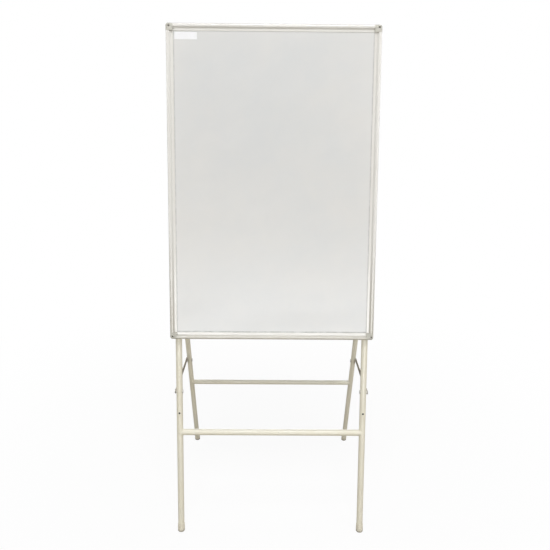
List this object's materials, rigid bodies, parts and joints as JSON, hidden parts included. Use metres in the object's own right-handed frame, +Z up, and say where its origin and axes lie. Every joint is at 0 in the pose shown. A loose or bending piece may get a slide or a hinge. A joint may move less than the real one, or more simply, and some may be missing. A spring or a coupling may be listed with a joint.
{
  "type": "magnetic whiteboard with stand",
  "caption": "Magnetic whiteboard in a ridged frame with moulded corners, on a folding tube A-frame floor stand whose hinged rear legs are held open by jointed side stays.",
  "frame": {"origin": "on the floor, under the middle of the open stand's box", "axes": "+X to the viewer's right, +Y away from the viewer, +Z up"},
  "size_m": [0.604, 0.495, 1.4855],
  "materials": {
    "white_enamel": "satin white enamel on steel",
    "core_board": "light fibreboard",
    "backing_steel": "galvanised sheet",
    "rail_coat": "cream stove enamel on aluminium",
    "cap_plastic": "moulded, fine spark texture",
    "leg_paint": "cream powder coat on steel tube",
    "foot_plastic": "moulded, scuffed",
    "nylon": "natural nylon",
    "zinc_steel": "bright zinc plate",
    "stay_steel": "dull grey-brown plated steel"
  },
  "bodies": {
    "front_frame": {"writing_sheet": "white_enamel", "core_panel": "core_board", "backing_sheet": "backing_steel", "top_rail": "rail_coat", "bottom_rail": "rail_coat", "left_rail": "rail_coat", "right_rail": "rail_coat", "corner_cap_top_left": "cap_plastic", "corner_cap_top_right": "cap_plastic", "corner_cap_bottom_left": "cap_plastic", "corner_cap_bottom_right": "cap_plastic", "front_leg_left": "leg_paint", "front_leg_right": "leg_paint", "front_crossbar": "leg_paint", "front_foot_left": "foot_plastic", "front_foot_right": "foot_plastic", "front_leg_plugs": "nylon", "hinge_washers": "nylon", "stay_front_spacers": "nylon", "hinge_bracket_left": "zinc_steel", "hinge_bracket_right": "zinc_steel", "bracket_rivets": "zinc_steel", "hinge_bolts": "zinc_steel", "hinge_nuts": "zinc_steel", "board_screws": "zinc_steel", "saddle_washers": "zinc_steel", "stay_front_bolts": "zinc_steel", "stay_front_nuts": "zinc_steel"},
    "rear_frame": {"rear_leg_left": "leg_paint", "rear_leg_right": "leg_paint", "rear_crossbar": "leg_paint", "rear_foot_left": "foot_plastic", "rear_foot_right": "foot_plastic", "pivot_plugs": "nylon", "stay_rear_bolts": "zinc_steel", "stay_rear_nuts": "zinc_steel", "stay_rear_spacers": "nylon"},
    "left_front_link": {"stay_front_link_left": "stay_steel", "stay_rivet_left": "stay_steel"},
    "left_rear_link": {"stay_rear_link_left": "stay_steel", "stay_rivet_tail_left": "stay_steel"},
    "right_front_link": {"stay_front_link_right": "stay_steel", "stay_rivet_right": "stay_steel"},
    "right_rear_link": {"stay_rear_link_right": "stay_steel", "stay_rivet_tail_right": "stay_steel"}
  },
  "joints": [
    {"name": "rear_fold", "type": "hinge", "parent": "front_frame", "child": "rear_frame", "pos_m": [0, -0.00941, 0.83697], "axis": [-1, 0, 0], "range_deg": [0, 30]},
    {"name": "left_front_link_swing", "type": "hinge", "parent": "front_frame", "child": "left_front_link", "pos_m": [-0.292, -0.13147, 0.44], "axis": [1, 0, 0], "range_deg": [0, 76.8]},
    {"name": "left_rear_link_swing", "type": "hinge", "parent": "rear_frame", "child": "left_rear_link", "pos_m": [-0.2905, 0.11667, 0.41133], "axis": [-1, 0, 0], "range_deg": [0, 61.3]},
    {"name": "right_front_link_swing", "type": "hinge", "parent": "front_frame", "child": "right_front_link", "pos_m": [0.292, -0.13147, 0.44], "axis": [1, 0, 0], "range_deg": [0, 76.8]},
    {"name": "right_rear_link_swing", "type": "hinge", "parent": "rear_frame", "child": "right_rear_link", "pos_m": [0.2905, 0.11667, 0.41133], "axis": [-1, 0, 0], "range_deg": [0, 61.3]}
  ],
  "couplings": [
    {"joint": "left_front_link_swing", "follows": "rear_fold", "ratio": 2.5572},
    {"joint": "left_rear_link_swing", "follows": "rear_fold", "ratio": 2.0416},
    {"joint": "right_front_link_swing", "follows": "rear_fold", "ratio": 2.5572},
    {"joint": "right_rear_link_swing", "follows": "rear_fold", "ratio": 2.0416}
  ]
}
